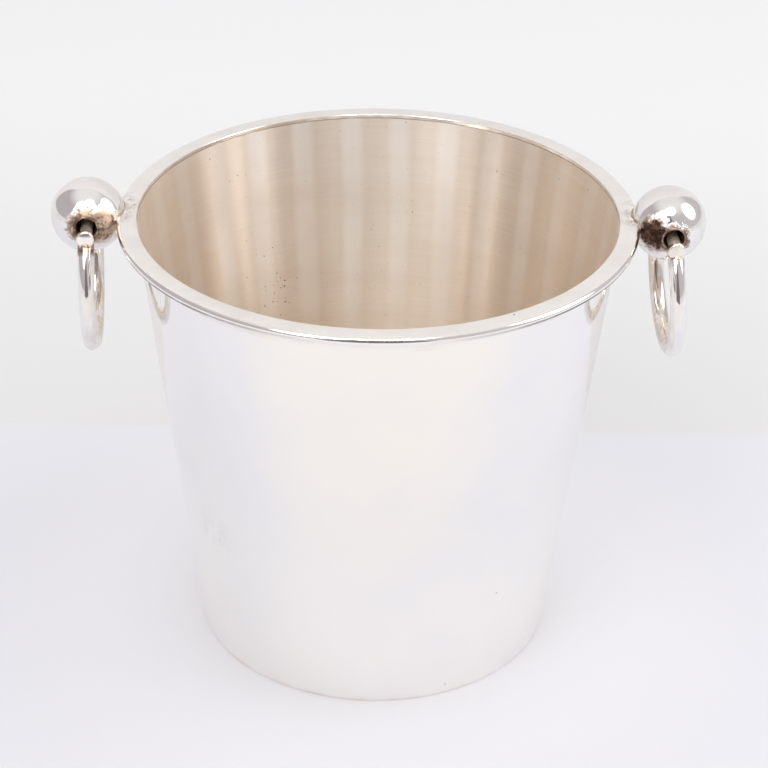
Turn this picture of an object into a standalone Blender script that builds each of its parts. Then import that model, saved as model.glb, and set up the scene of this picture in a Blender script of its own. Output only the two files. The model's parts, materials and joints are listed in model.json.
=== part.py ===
"""Silver champagne bucket with two ring handles hung from ball lugs.

Metres, +Z up. The origin is the centre of the underside, which stands on z = 0.
+X runs through the two ball lugs, so the left handle is at -X and the right one at +X.

Each handle is a loose pin in the sleeve of a hollow ball, with an end cap on each end of
the pin and a C-shaped ring joined to the underside of both caps. Pin, caps and ring swing
together about the pin's own axis.
"""
import math

import bmesh
import bpy
from mathutils import Matrix, Vector

# ---------------------------------------------------------------- driving dimensions
HEIGHT = 0.200                # table to the flat top of the rim
BASE_RADIUS = 0.0798          # outside of the wall at the table
WALL_TOP_RADIUS = 0.1036      # outside of the wall, carried up to the top of the rim
WALL_THICKNESS = 0.0012
GAP = 0.0003                  # clearance between neighbouring pieces

RIM_MOUTH_RADIUS = 0.1029     # inner edge of the flat top
RIM_FLAT_RADIUS = 0.1092      # outer edge of the flat top
RIM_EDGE_RADIUS = 0.0019      # half-round outer edge of the rim
RIM_COVE_RADIUS = 0.0062      # hollow curve under the rim
RIM_SEAT_DEPTH = 0.0015       # the lip that covers the top of the wall

PLATE_THICKNESS = 0.0012
PLATE_RECESS = 0.0032         # height of the bottom plate above the table
FOOT_WIRE_WIDTH = 0.0027

BALL_RADIUS = 0.0159
BALL_THICKNESS = 0.0011
BALL_X = 0.1238               # centre of each ball from the bucket's axis
BALL_Z = 0.1970
LUG_TURN = math.radians(3.5)  # both bores are turned this far from square to the balls
LUG_TIP = math.radians(2.0)   # and tipped: the right one down at the front, the left at the rear

SLEEVE_OUTER_RADIUS = 0.0054
SLEEVE_INNER_RADIUS = 0.0044
SLEEVE_PROUD = 0.0002         # how far the sleeve stands out of the ball

PIN_RADIUS = 0.0026
CAP_RADIUS = 0.00365
CAP_LENGTH = 0.0028
CAP_END = 0.0241              # outer face of each cap from the middle of the pin
CAP_BORE_DEPTH = 0.0016
CAP_CHAMFER = 0.0004

RING_WIRE_RADIUS = 0.0035
RING_RADIUS = 0.0305          # centre line
RING_DROP = 0.0259            # ring centre below the pin
RING_END = math.radians(40)   # each end of the ring stops this far from its top
RIGHT_LEAN = math.radians(3.4)  # the right handle hangs this far outwards, the left one plumb

ROUND_STEPS = 96              # around the bucket
BALL_STEPS = 32               # around a ball
WIRE_STEPS = 14               # around the wire of a ring
RING_STEPS = 36               # along a ring
PIN_STEPS = 24                # around a pin, cap or sleeve
ARC_STEPS = 8                 # along a quarter of a ball or of the rim's curves
SMOOTH_ANGLE = math.radians(32)

WALL_SLOPE = (WALL_TOP_RADIUS - BASE_RADIUS) / HEIGHT
PIN_DROP = SLEEVE_INNER_RADIUS - PIN_RADIUS - GAP   # the loose pin lies low in its sleeve

SILVER_OUTSIDE = ("silver_outside", (0.93, 0.92, 0.91), 0.08)
SILVER_INSIDE = ("silver_inside", (0.80, 0.72, 0.62), 0.32)
SILVER_HANDLE = ("silver_handle", (0.88, 0.86, 0.84), 0.10)
SILVER_WORN = ("silver_worn", (0.72, 0.60, 0.46), 0.28)


# ---------------------------------------------------------------- helpers
def clear_scene():
    for thing in list(bpy.data.objects):
        bpy.data.objects.remove(thing)


def material(finish):
    """A Principled BSDF material, made once for each finish."""
    name, colour, roughness = finish
    made = bpy.data.materials.get(name)
    if made:
        return made
    made = bpy.data.materials.new(name)
    made.use_nodes = True
    shader = made.node_tree.nodes["Principled BSDF"]
    shader.inputs["Base Color"].default_value = (*colour, 1.0)
    shader.inputs["Roughness"].default_value = roughness
    shader.inputs["Metallic"].default_value = 1.0
    return made


def make_object(name, shape, finish, parent=None):
    """Turn a bmesh into a smooth-shaded object with outward faces."""
    bmesh.ops.remove_doubles(shape, verts=shape.verts, dist=1e-6)
    bmesh.ops.recalc_face_normals(shape, faces=shape.faces)
    mesh = bpy.data.meshes.new(name)
    shape.to_mesh(mesh)
    shape.free()
    mesh.shade_smooth()
    mesh.set_sharp_from_angle(angle=SMOOTH_ANGLE)
    thing = bpy.data.objects.new(name, mesh)
    bpy.context.collection.objects.link(thing)
    thing.parent = parent
    if finish:
        mesh.materials.append(material(finish))
    return thing


def arc(centre, radius, start, end, steps):
    """Points on an arc, angles in degrees, both ends included."""
    angles = [math.radians(start + (end - start) * i / steps) for i in range(steps + 1)]
    return [(centre[0] + radius * math.cos(a), centre[1] + radius * math.sin(a)) for a in angles]


def turned(outline, steps, axis="Z"):
    """Spin an outline of (radius, height) points once around the axis.

    An outline that starts on the axis also ends on it; any other is a closed loop.
    """
    shape = bmesh.new()
    along = Vector((0, 0, 1)) if axis == "Z" else Vector((0, 1, 0))
    verts = [shape.verts.new(Vector((r, 0, 0)) + h * along) for r, h in outline]
    pairs = list(zip(verts, verts[1:]))
    if outline[0][0] > 0:
        pairs.append((verts[-1], verts[0]))
    edges = [shape.edges.new(pair) for pair in pairs]
    bmesh.ops.spin(shape, geom=verts + edges, cent=(0, 0, 0), axis=along,
                   angle=2 * math.pi, steps=steps, use_merge=True)
    return shape


def cut(target, cutter):
    """Subtract the cutter, which stays in the file as a wire guide."""
    cutter.hide_render = True
    cutter.display_type = "WIRE"
    step = target.modifiers.new("cut_" + cutter.name, "BOOLEAN")
    step.operation = "DIFFERENCE"
    step.solver = "EXACT"
    step.object = cutter


def wall_radius(z, inset=0.0):
    """Outside radius of the tapered wall at height z, less an inset."""
    return BASE_RADIUS + WALL_SLOPE * z - inset


def rim_outline(grow=0.0):
    """The rim moulding's section; grow swells its outer side, to cope the balls over it."""
    lip_radius = wall_radius(HEIGHT, WALL_THICKNESS)
    mouth = RIM_MOUTH_RADIUS - lip_radius
    seat = HEIGHT - RIM_SEAT_DEPTH
    cove_height = HEIGHT - 2 * RIM_EDGE_RADIUS - RIM_COVE_RADIUS
    skirt = cove_height - GAP
    edge_centre = (RIM_FLAT_RADIUS, HEIGHT - RIM_EDGE_RADIUS)
    cove_centre = (RIM_FLAT_RADIUS, cove_height)
    points = [(lip_radius, seat)]
    points += arc((RIM_MOUTH_RADIUS, HEIGHT - mouth), mouth + grow, 180, 90, 2)
    points += arc(edge_centre, RIM_EDGE_RADIUS + grow, 90, -90, ARC_STEPS)
    points += arc(cove_centre, RIM_COVE_RADIUS - grow, 90, 180, ARC_STEPS)
    points.append((RIM_FLAT_RADIUS - RIM_COVE_RADIUS + grow, skirt))
    points.append((wall_radius(skirt) + GAP, skirt))
    points.append((wall_radius(seat) + GAP, seat))
    return points


# ---------------------------------------------------------------- the bucket
def body_wall():
    """Tapered wall, open at both ends."""
    top = HEIGHT - RIM_SEAT_DEPTH - GAP
    outline = [
        (wall_radius(0, WALL_THICKNESS), 0),
        (wall_radius(0), 0),
        (wall_radius(top), top),
        (wall_radius(top, WALL_THICKNESS), top),
    ]
    return make_object("body_wall", turned(outline, ROUND_STEPS), SILVER_OUTSIDE)


def bottom_plate():
    """Disc let in a little above the table."""
    low = PLATE_RECESS
    high = PLATE_RECESS + PLATE_THICKNESS
    shape = bmesh.new()
    bmesh.ops.create_cone(
        shape, cap_ends=True, segments=ROUND_STEPS, depth=PLATE_THICKNESS,
        radius1=wall_radius(low, WALL_THICKNESS + GAP),
        radius2=wall_radius(high, WALL_THICKNESS + GAP),
        matrix=Matrix.Translation((0, 0, (low + high) / 2)))
    return make_object("bottom_plate", shape, SILVER_INSIDE)


def foot_wire():
    """Flat wire soldered inside the lower edge, under the plate."""
    top = PLATE_RECESS - GAP
    outer_low = wall_radius(0, WALL_THICKNESS + GAP)
    outer_top = wall_radius(top, WALL_THICKNESS + GAP)
    outline = [(outer_low - FOOT_WIRE_WIDTH, 0), (outer_low, 0),
               (outer_top, top), (outer_low - FOOT_WIRE_WIDTH, top)]
    return make_object("foot_wire", turned(outline, ROUND_STEPS), SILVER_OUTSIDE)


def rim_moulding():
    """Flat-topped rim with a half-round edge and a cove, seated over the wall."""
    return make_object("rim_moulding", turned(rim_outline(), ROUND_STEPS), SILVER_OUTSIDE)


def rim_cutter():
    return make_object("guide_rim", turned(rim_outline(GAP), ROUND_STEPS), None)


# ---------------------------------------------------------------- one handle
def handle_frame(side):
    """Two empties for one side: the ball's centre, and the pin's axis just below it."""
    sign = -1 if side == "left" else 1
    lug = bpy.data.objects.new(side + "_lug", None)
    lug.location = (sign * BALL_X, 0, BALL_Z)
    lug.rotation_euler = (sign * LUG_TIP, 0, LUG_TURN)
    pin = bpy.data.objects.new(side + "_pin_axis", None)
    pin.parent = lug
    pin.location = (0, 0, -PIN_DROP)
    if side == "right":
        pin.rotation_euler = (0, -RIGHT_LEAN, 0)
    for empty in (lug, pin):
        bpy.context.collection.objects.link(empty)
    return lug, pin


def ball_half(side, end, lug, guide):
    """Half of the hollow ball, with the hole for the sleeve, coped over the rim."""
    hole = SLEEVE_OUTER_RADIUS + GAP
    inner = BALL_RADIUS - BALL_THICKNESS
    seam = GAP / 2

    def sweep(radius):
        start = math.degrees(math.acos(hole / radius))
        finish = math.degrees(math.asin(seam / radius))
        return arc((0, 0), radius, start, finish, ARC_STEPS)

    outline = sweep(BALL_RADIUS) + sweep(inner)[::-1]
    sign = -1 if end == "front" else 1
    shape = turned([(r, sign * h) for r, h in outline], BALL_STEPS, axis="Y")
    half = make_object(f"{side}_ball_{end}_half", shape, SILVER_HANDLE, lug)
    cut(half, guide)
    return half


def pin_sleeve(side, lug):
    """Tube through the ball that the pin hangs in."""
    reach = math.sqrt(BALL_RADIUS ** 2 - SLEEVE_OUTER_RADIUS ** 2) + SLEEVE_PROUD
    outline = [(SLEEVE_INNER_RADIUS, -reach), (SLEEVE_OUTER_RADIUS, -reach),
               (SLEEVE_OUTER_RADIUS, reach), (SLEEVE_INNER_RADIUS, reach)]
    return make_object(f"{side}_pin_sleeve", turned(outline, PIN_STEPS, axis="Y"), SILVER_WORN, lug)


def pivot_pin(side, axis):
    """Plain round pin; its ends sit in the caps."""
    reach = CAP_END - CAP_LENGTH + CAP_BORE_DEPTH - GAP
    shape = bmesh.new()
    bmesh.ops.create_cone(
        shape, cap_ends=True, segments=PIN_STEPS, depth=2 * reach, radius1=PIN_RADIUS,
        radius2=PIN_RADIUS, matrix=Matrix.Rotation(math.pi / 2, 4, "X"))
    return make_object(f"{side}_pivot_pin", shape, SILVER_WORN, axis)


def end_cap(side, end, axis):
    """Blind cap over one end of the pin, chamfered outside."""
    sign = -1 if end == "front" else 1
    bore = PIN_RADIUS + GAP
    mouth = CAP_END - CAP_LENGTH
    bore_end = mouth + CAP_BORE_DEPTH
    outline = [(0, CAP_END), (CAP_RADIUS - CAP_CHAMFER, CAP_END),
               (CAP_RADIUS, CAP_END - CAP_CHAMFER), (CAP_RADIUS, mouth),
               (bore, mouth), (bore, bore_end), (0, bore_end)]
    shape = turned([(r, sign * y) for r, y in outline], PIN_STEPS, axis="Y")
    return make_object(f"{side}_{end}_cap", shape, SILVER_HANDLE, axis)


def coping_outline():
    """What a ring's end is cut back by: the pin and its cap, both grown by the gap."""
    mouth = CAP_END - CAP_LENGTH - GAP
    pin, cap = PIN_RADIUS + GAP, CAP_RADIUS + GAP
    beyond = CAP_END + RING_WIRE_RADIUS
    return [(0, 0), (pin, 0), (pin, mouth), (cap, mouth), (cap, beyond), (0, beyond)]


def ring(side, axis):
    """C-shaped ring of round wire whose two ends are coped to the pin and the caps."""
    centre = Vector((0, 0, -RING_DROP))
    start = centre + RING_RADIUS * Vector((0, math.sin(RING_END), math.cos(RING_END)))
    tangent = Vector((0, math.cos(RING_END), -math.sin(RING_END)))
    turn = tangent.to_track_quat("Z", "X").to_matrix().to_4x4()
    shape = bmesh.new()
    bmesh.ops.create_circle(shape, cap_ends=True, segments=WIRE_STEPS, radius=RING_WIRE_RADIUS,
                            matrix=Matrix.Translation(start) @ turn)
    bmesh.ops.spin(shape, geom=shape.faces[:] + shape.edges[:] + shape.verts[:], cent=centre,
                   axis=(1, 0, 0), angle=-2 * (math.pi - RING_END), steps=RING_STEPS)
    made = make_object(f"{side}_ring", shape, SILVER_HANDLE, axis)
    seat = coping_outline()
    for sign, end in ((-1, "front"), (1, "rear")):
        block = turned([(r, sign * y) for r, y in seat], PIN_STEPS, axis="Y")
        cut(made, make_object(f"guide_{side}_{end}_seat", block, None, axis))
    return made


def handle(side, guide):
    lug, axis = handle_frame(side)
    for end in ("front", "rear"):
        ball_half(side, end, lug, guide)
        end_cap(side, end, axis)
    pin_sleeve(side, lug)
    pivot_pin(side, axis)
    ring(side, axis)


def main():
    clear_scene()
    body_wall()
    bottom_plate()
    foot_wire()
    rim_moulding()
    guide = rim_cutter()
    for side in ("left", "right"):
        handle(side, guide)


main()
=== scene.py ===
"""Looks of a silver champagne bucket with two ring handles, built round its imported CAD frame.

Metres, +Z up, in the CAD's own frame. Sizes and places are read from the CAD nodes and from
the joints; the named values below add only what the CAD leaves plain: rounded edges, solder,
brushing, tarnish and the studio.
"""
import json
import math

import bpy
from mathutils import Matrix, Vector, noise


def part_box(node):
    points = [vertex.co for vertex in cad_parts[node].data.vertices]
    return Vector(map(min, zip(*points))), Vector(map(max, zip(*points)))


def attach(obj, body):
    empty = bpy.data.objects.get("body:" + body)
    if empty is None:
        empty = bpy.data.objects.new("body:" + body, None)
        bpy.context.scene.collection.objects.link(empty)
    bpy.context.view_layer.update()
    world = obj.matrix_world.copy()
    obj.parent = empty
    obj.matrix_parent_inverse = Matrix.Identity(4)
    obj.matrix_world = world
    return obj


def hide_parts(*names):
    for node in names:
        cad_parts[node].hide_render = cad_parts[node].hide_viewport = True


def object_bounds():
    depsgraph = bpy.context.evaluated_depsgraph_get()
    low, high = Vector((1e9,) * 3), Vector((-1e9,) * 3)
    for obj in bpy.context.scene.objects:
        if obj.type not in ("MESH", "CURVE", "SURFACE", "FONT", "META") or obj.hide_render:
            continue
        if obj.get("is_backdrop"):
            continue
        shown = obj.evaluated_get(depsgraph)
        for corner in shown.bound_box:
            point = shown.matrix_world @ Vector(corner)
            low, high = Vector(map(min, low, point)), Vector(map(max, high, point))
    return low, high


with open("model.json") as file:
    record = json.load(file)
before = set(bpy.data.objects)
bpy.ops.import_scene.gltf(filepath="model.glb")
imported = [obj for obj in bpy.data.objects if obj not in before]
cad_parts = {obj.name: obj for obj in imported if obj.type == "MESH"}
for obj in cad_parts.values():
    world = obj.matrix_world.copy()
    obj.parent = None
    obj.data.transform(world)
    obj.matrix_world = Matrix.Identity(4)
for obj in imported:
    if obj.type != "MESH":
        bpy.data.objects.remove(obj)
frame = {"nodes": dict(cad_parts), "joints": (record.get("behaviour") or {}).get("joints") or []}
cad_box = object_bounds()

# ---------------------------------------------------------------- driving values
ROUND_STEPS = 288             # around the bucket
BALL_STEPS = 96               # around a ball's bore
SMALL_STEPS = 64              # around a pin, cap or sleeve
WIRE_STEPS = 36               # around the wire of a ring
RING_STEPS = 180              # along a ring
SHARP_ANGLE = math.radians(40)

RIM_EDGE_RADIUS = 0.0019      # half-round outer edge of the rim
RIM_COVE_RADIUS = 0.0062      # hollow curve under it
RIM_LIP_RADIUS = 0.0003       # rounded inner edge of the flat top
SKIRT_RADIUS = 0.0004         # rounded lower edge of the rim moulding
FOOT_ROUNDING = 0.0005        # worn lower edge of the wall
BALL_THICKNESS = 0.0011
SLEEVE_WALL = 0.0010
CAP_ROUNDING = 0.0006
CAP_DOME = 0.00025            # how far a cap's end face swells
PIN_BITE = 0.0016             # how deep the pin sits in a cap
RING_END = math.radians(40)   # each end of a ring stops this far from its top
RING_TIP = 0.0020             # length over which a ring's end rounds off
RING_TIP_SHARE = 0.55         # radius of the very end, as a share of the wire's
RING_CROWDING = 0.45          # how much closer together the ring's sections are near its ends
SMALL_LIP = 0.0003            # rounded mouth of a cap, gap at a pin's end and over the wall
FIT = 0.0001                  # play between pieces that fit round each other
PIN_WEAR = 0.00012            # how much thinner the pin is in its middle

LUG_BEAD_RADIUS = 0.00050     # solder round a ball, where it meets the rim
LEG_BEAD_RADIUS = 0.00045     # solder round a ring's end, under its cap
BEAD_LUMPS = 0.32             # how uneven the solder is, as a share of its radius
BEAD_LUMP_SCALE = 420         # lumps per metre
BEAD_STEPS = 14               # around a bead
FLOOR_FILLET = 0.0015         # solder between the floor and the wall, inside

TABLE_DEPTH = 0.148           # from the bucket's axis back to the foot of the backdrop
BOARD_HEIGHT = 0.62           # a white board behind the bucket, seen only in the silver
BOARD_LEFT = -0.32
BOARD_RIGHT = 0.27
FLOOR_REACH = 9.0
SCREEN_Y = -0.98              # a dark screen behind the camera, seen only in the silver
SCREEN_HEIGHT = 1.20
SCREEN_FOOT = 0.42            # half its width at the floor
SCREEN_HEAD = 0.10            # and at its top
SOFT_EDGE = 0.40              # width of a softbox's dim edge, where its half width is 0.5
BOUNCED_SHARE = 0.25          # what is left of its light in silver after a matt surface
LAMP_SPACING = 0.02           # between the two lamps of one softbox, so that both are seen
DOME = (0.87, 0.87, 0.875)    # brightness of the even light that the table gets
WALLS_LEFT = (0.50, 0.46, 0.47)    # the room that metal reflects
WALLS_RIGHT = (0.60, 0.56, 0.58)
CEILING = (0.88, 0.86, 0.85)
TABLE_COOL = (0.885, 0.878, 0.93)
TABLE_MOTTLE = (0.875, 0.868, 0.915)
# painted light: paper in front of the bucket, lighter and warmer
TABLE_FRONT_PAINTED_LIGHT = (0.94, 0.905, 0.89)
# painted light round the bucket's foot
TABLE_PAINTED_LIGHT_AT_FOOT = (0.95, 0.94, 0.97)
# painted shade at the foot of the backdrop
BACKDROP_FOOT_PAINTED_SHADE = (0.865, 0.855, 0.855)
BACKDROP = (0.96, 0.955, 0.96)
BOARD_WHITE = (0.93, 0.91, 0.90)
BOARD_MOTTLE = (0.91, 0.89, 0.88)
CLOTH_LIGHT = (0.24, 0.21, 0.21)
CLOTH_DARK = (0.19, 0.17, 0.17)


# ---------------------------------------------------------------- reading the CAD
def node_points(name, into=Matrix.Identity(4)):
    """A CAD node's vertices, seen from another frame."""
    return [into @ v.co for v in frame["nodes"][name].data.vertices]


def reach(points, axis):
    """Lowest and highest value of the points along one axis."""
    values = [p[axis] for p in points]
    return min(values), max(values)


def turned_radii(name):
    """(inner, outer) radius of a turned CAD node at its lowest level and at its highest."""
    points = node_points(name)
    low, high = reach(points, 2)
    found = []
    for level in (low, high):
        radii = [math.hypot(p.x, p.y) for p in points if abs(p.z - level) < 1e-5]
        found.append((min(radii), max(radii)))
    return found


def pin_frame(side):
    """Frame of a handle's pin: its middle, with Y along the pin towards the rear."""
    joint = next(j for j in frame["joints"] if j["name"] == side + "_ring_swing")
    rear = Vector(joint["axis"]) * (1 if side == "left" else -1)
    across = rear.cross(Vector((0, 0, 1))).normalized()
    turn = Matrix((across, rear, across.cross(rear))).transposed().to_4x4()
    return Matrix.Translation(Vector(joint["pos_m"])) @ turn


def hanging_frame(side, pin):
    """The pin's frame turned about the pin, so that the ring hangs straight down in it."""
    points = node_points(side + "_ring", pin.inverted())
    middle = sum(points, Vector()) / len(points)
    return pin @ Matrix.Rotation(math.atan2(-middle.x, -middle.z), 4, "Y")


def ball_centre(side):
    """Centre and radius of a ball, from the highest, lowest and outermost points."""
    points = node_points(side + "_ball_front_half") + node_points(side + "_ball_rear_half")
    low, high = reach(points, 2)
    radius = (high - low) / 2
    inmost, outmost = reach(points, 0)
    x = inmost + radius if side == "left" else outmost - radius
    return Vector((x, 0, (low + high) / 2)), radius


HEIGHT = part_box("rim_moulding")[1].z
RIM_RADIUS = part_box("rim_moulding")[1].y
(WALL_LOW_INNER, WALL_LOW_OUTER), (WALL_TOP_INNER, WALL_TOP_OUTER) = turned_radii("body_wall")
WALL_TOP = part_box("body_wall")[1].z
SLOPE = (WALL_TOP_OUTER - WALL_LOW_OUTER) / WALL_TOP


def wall_radius(z):
    """Outside radius of the tapered wall at height z."""
    return WALL_LOW_OUTER + SLOPE * z


# ---------------------------------------------------------------- mesh helpers
def arc(centre, radius, start, end, steps):
    """Points on an arc, angles in degrees, both ends included."""
    angles = [math.radians(start + (end - start) * i / steps) for i in range(steps + 1)]
    return [(centre[0] + radius * math.cos(a), centre[1] + radius * math.sin(a)) for a in angles]


def lathe(outline, steps, along_y=False):
    """Vertices and faces of a closed outline of (radius, height) points turned once."""
    verts = []
    rows = []
    for radius, height in outline:
        first = len(verts)
        count = steps if radius > 1e-7 else 1
        for i in range(count):
            a = 2 * math.pi * i / steps
            x, y = radius * math.cos(a), radius * math.sin(a)
            verts.append(Vector((x, height, -y)) if along_y else Vector((x, y, height)))
        rows.append([first + i % count for i in range(steps)])
    faces = []
    for low, high in zip(rows, rows[1:] + rows[:1]):
        for i in range(steps):
            j = (i + 1) % steps
            corners = list(dict.fromkeys((low[i], low[j], high[j], high[i])))
            if len(corners) > 2:
                faces.append(corners)
    return verts, faces


def tube(path, radii, steps, closed):
    """Vertices and faces of a round tube along a path, capped unless it is closed."""
    verts = []
    faces = []
    count = len(path)
    side = None
    for i, point in enumerate(path):
        ahead = path[(i + 1) % count] if closed or i + 1 < count else point
        behind = path[i - 1] if closed or i > 0 else point
        tangent = (ahead - behind).normalized()
        side = side or tangent.orthogonal()
        side = (side - tangent * side.dot(tangent)).normalized()
        other = tangent.cross(side)
        for k in range(steps):
            a = 2 * math.pi * k / steps
            verts.append(point + radii[i] * (math.cos(a) * side + math.sin(a) * other))
    spans = count if closed else count - 1
    for i in range(spans):
        for k in range(steps):
            a, b = i * steps, (i + 1) % count * steps
            n = (k + 1) % steps
            faces.append((a + k, a + n, b + n, b + k))
    if not closed:
        faces.append(list(range(steps))[::-1])
        faces.append([(count - 1) * steps + k for k in range(steps)])
    return verts, faces


def make_piece(name, shape, finishes, body, stands_for=(), place=None, pick=None):
    """A smooth-shaded object riding on a body. pick gives the finish's number for a face."""
    verts, faces = shape
    mesh = bpy.data.meshes.new(name)
    mesh.from_pydata([(place @ v if place else v) for v in verts], [], faces)
    mesh.validate()
    for finish in finishes:
        mesh.materials.append(finish)
    if pick:
        for face in mesh.polygons:
            face.material_index = pick(face)
    mesh.shade_smooth()
    mesh.set_sharp_from_angle(angle=SHARP_ANGLE)
    piece = bpy.data.objects.new(name, mesh)
    bpy.context.scene.collection.objects.link(piece)
    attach(piece, body)
    if stands_for:
        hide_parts(*stands_for)
    return piece


def meeting_curve(surface, inside, steps, far):
    """Closed curve where a surface point surface(turn, reach) stops being inside a solid."""
    halvings = 24
    curve = []
    for i in range(steps):
        turn = 2 * math.pi * i / steps
        low, high = 0.0, far
        for _ in range(halvings):
            middle = (low + high) / 2
            if inside(surface(turn, middle)):
                low = middle
            else:
                high = middle
        curve.append(surface(turn, low))
    return curve


def bead(curve, radius, seed):
    """A lumpy solder bead along a closed curve."""
    radii = []
    for point in curve:
        lump = noise.noise(point * BEAD_LUMP_SCALE + Vector((seed, 0, 0)))
        radii.append(radius * (1 + 2 * BEAD_LUMPS * lump))
    return tube(curve, radii, BEAD_STEPS, closed=True)


# ---------------------------------------------------------------- material helpers
class Graph:
    """Short calls for building one material's node tree."""

    def __init__(self, name):
        self.material = bpy.data.materials.new(name)
        self.material.use_nodes = True
        self.tree = self.material.node_tree
        self.shader = self.tree.nodes["Principled BSDF"]
        self.point = self.node("ShaderNodeTexCoord").outputs["Object"]

    def node(self, kind, inputs=(), **settings):
        """A new node with some of its properties and inputs set."""
        made = self.tree.nodes.new(kind)
        for key, value in settings.items():
            setattr(made, key, value)
        for key, value in dict(inputs).items():
            self.put(made.inputs[key], value)
        return made

    def put(self, socket, value):
        """Link a socket to another node's output, or set its value."""
        if isinstance(value, bpy.types.NodeSocket):
            self.tree.links.new(value, socket)
        elif isinstance(value, (tuple, Vector)) and socket.type == "RGBA" and len(value) == 3:
            socket.default_value = (*value, 1.0)
        else:
            socket.default_value = value

    def math(self, operation, a, b=0.0):
        """One operation on two values or sockets."""
        return self.node("ShaderNodeMath", {0: a, 1: b}, operation=operation).outputs[0]

    def times(self, *factors):
        """Product of two or more values or sockets."""
        product = factors[0]
        for factor in factors[1:]:
            product = self.math("MULTIPLY", product, factor)
        return product

    def stretched(self, scale):
        """Object coordinates scaled by a different amount along each axis."""
        made = self.node("ShaderNodeMapping", {"Vector": self.point, "Scale": scale})
        return made.outputs[0]

    def noise(self, vector, scale, detail=3.0, roughness=0.5):
        """Soft random pattern between 0 and 1, mostly near 0.5."""
        made = self.node("ShaderNodeTexNoise", {
            "Vector": vector, "Scale": scale, "Detail": detail, "Roughness": roughness})
        return made.outputs[0]

    def fade(self, value, start, end, low=0.0, high=1.0):
        """Smooth change from low to high as the value goes from start to end."""
        made = self.node("ShaderNodeMapRange", {
            "Value": value, "From Min": start, "From Max": end, "To Min": low, "To Max": high},
            interpolation_type="SMOOTHSTEP")
        return made.outputs[0]

    def mix(self, factor, a, b):
        """Colour a where the factor is 0, b where it is 1."""
        made = self.node("ShaderNodeMix", data_type="RGBA")
        self.put(made.inputs["Factor"], factor)
        self.put(made.inputs[6], a)
        self.put(made.inputs[7], b)
        return made.outputs[2]

    def split(self):
        """The surface point's x, y and z."""
        made = self.node("ShaderNodeSeparateXYZ", {0: self.point})
        return made.outputs

    def distance(self, centre):
        """Distance of the surface from a point of the object."""
        made = self.node("ShaderNodeVectorMath", {0: self.point, 1: centre}, operation="DISTANCE")
        return made.outputs["Value"]

    def specks(self, scale, size, share, seed=0.0):
        """Mask of small dots: only a share of the cells has one."""
        moved = self.node("ShaderNodeMapping", {"Vector": self.point, "Location": (seed, 0, 0)})
        cells = self.node("ShaderNodeTexVoronoi", {"Vector": moved.outputs[0], "Scale": scale})
        dot = self.fade(cells.outputs["Distance"], size, size * 0.4)
        pick = self.node("ShaderNodeSeparateColor", {0: cells.outputs["Color"]})
        chosen = self.math("LESS_THAN", pick.outputs[0], share)
        return self.times(dot, chosen)

    def bump(self, height, distance, strength=1.0, normal=None):
        """Normal tilted by a height pattern, on top of another bump if one is given."""
        inputs = {"Height": height, "Distance": distance, "Strength": strength}
        if normal:
            inputs["Normal"] = normal
        return self.node("ShaderNodeBump", inputs).outputs[0]

    def metal(self, colour, roughness, normal, anisotropic=0.0):
        """Finish the material as bare metal."""
        self.shader.inputs["Metallic"].default_value = 1.0
        self.shader.inputs["Anisotropic"].default_value = anisotropic
        self.put(self.shader.inputs["Base Color"], colour)
        self.put(self.shader.inputs["Roughness"], roughness)
        self.put(self.shader.inputs["Normal"], normal)
        return self.material


def around(graph, tight, along):
    """Coordinates for marks that run round the bucket: slow round it, fast up it and across it."""
    x, y, z = graph.split()
    radius = graph.math("SQRT", graph.math("ADD", graph.times(x, x), graph.times(y, y)))
    inputs = {
        0: graph.times(graph.math("DIVIDE", x, radius), tight),
        1: graph.times(graph.math("DIVIDE", y, radius), tight),
        2: graph.times(graph.math("ADD", z, radius), along),
    }
    return graph.node("ShaderNodeCombineXYZ", inputs).outputs[0]


def fine_scratches(graph, strength):
    """Wipe marks in two directions, and a faint unevenness of the sheet under them."""
    upright = graph.noise(graph.stretched((900, 900, 30)), 1.0, 2.0)
    slanted = graph.node("ShaderNodeMapping", {
        "Vector": graph.point, "Rotation": (0.5, 0.9, 0.3), "Scale": (40, 1300, 1100)})
    wiped = graph.noise(slanted.outputs[0], 1.0, 2.0)
    sheet = graph.noise(graph.point, 24.0, 1.0)
    normal = graph.bump(sheet, 0.0004, 0.5 * strength)
    normal = graph.bump(upright, 0.00002, strength, normal)
    return graph.bump(wiped, 0.00002, strength, normal)


# ---------------------------------------------------------------- the materials
SILVER = (0.965, 0.950, 0.925)
SILVER_CLOUDED = (0.945, 0.935, 0.925)
SILVER_DULL = (0.90, 0.87, 0.84)
SILVER_SCRATCHED = (0.80, 0.77, 0.74)
COPPER = (0.80, 0.50, 0.38)            # where the plate is worn through at the foot
SPOT_GREY = (0.28, 0.24, 0.22)
RIM_STAIN = (0.52, 0.40, 0.30)
RIM_DOTS = (0.20, 0.16, 0.13)
# painted reflection: dark line under the rim's edge
RIM_PAINTED_DARK_LINE = (0.13, 0.095, 0.08)

TARNISH_TAN = (0.80, 0.60, 0.44)
TARNISH_RUST = (0.54, 0.34, 0.21)
TARNISH_BROWN = (0.10, 0.045, 0.022)
TARNISH_BURNT = (0.15, 0.085, 0.06)
TARNISH_BLACK = (0.040, 0.023, 0.018)

INSIDE_DARK = (0.84, 0.73, 0.61)       # low on the wall and near the handles
INSIDE_CLOUD = (0.88, 0.78, 0.66)
INSIDE_PAINTED_HIGHLIGHT = (0.985, 0.95, 0.90)     # painted highlight along a bright band
PAINTED_LIT_DARK = (0.82, 0.76, 0.69)       # the same three painted lighter and cooler: painted light on the far side and high up
PAINTED_LIT_CLOUD = (0.88, 0.83, 0.77)
PAINTED_LIT_HIGHLIGHT = (0.99, 0.98, 0.96)
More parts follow.
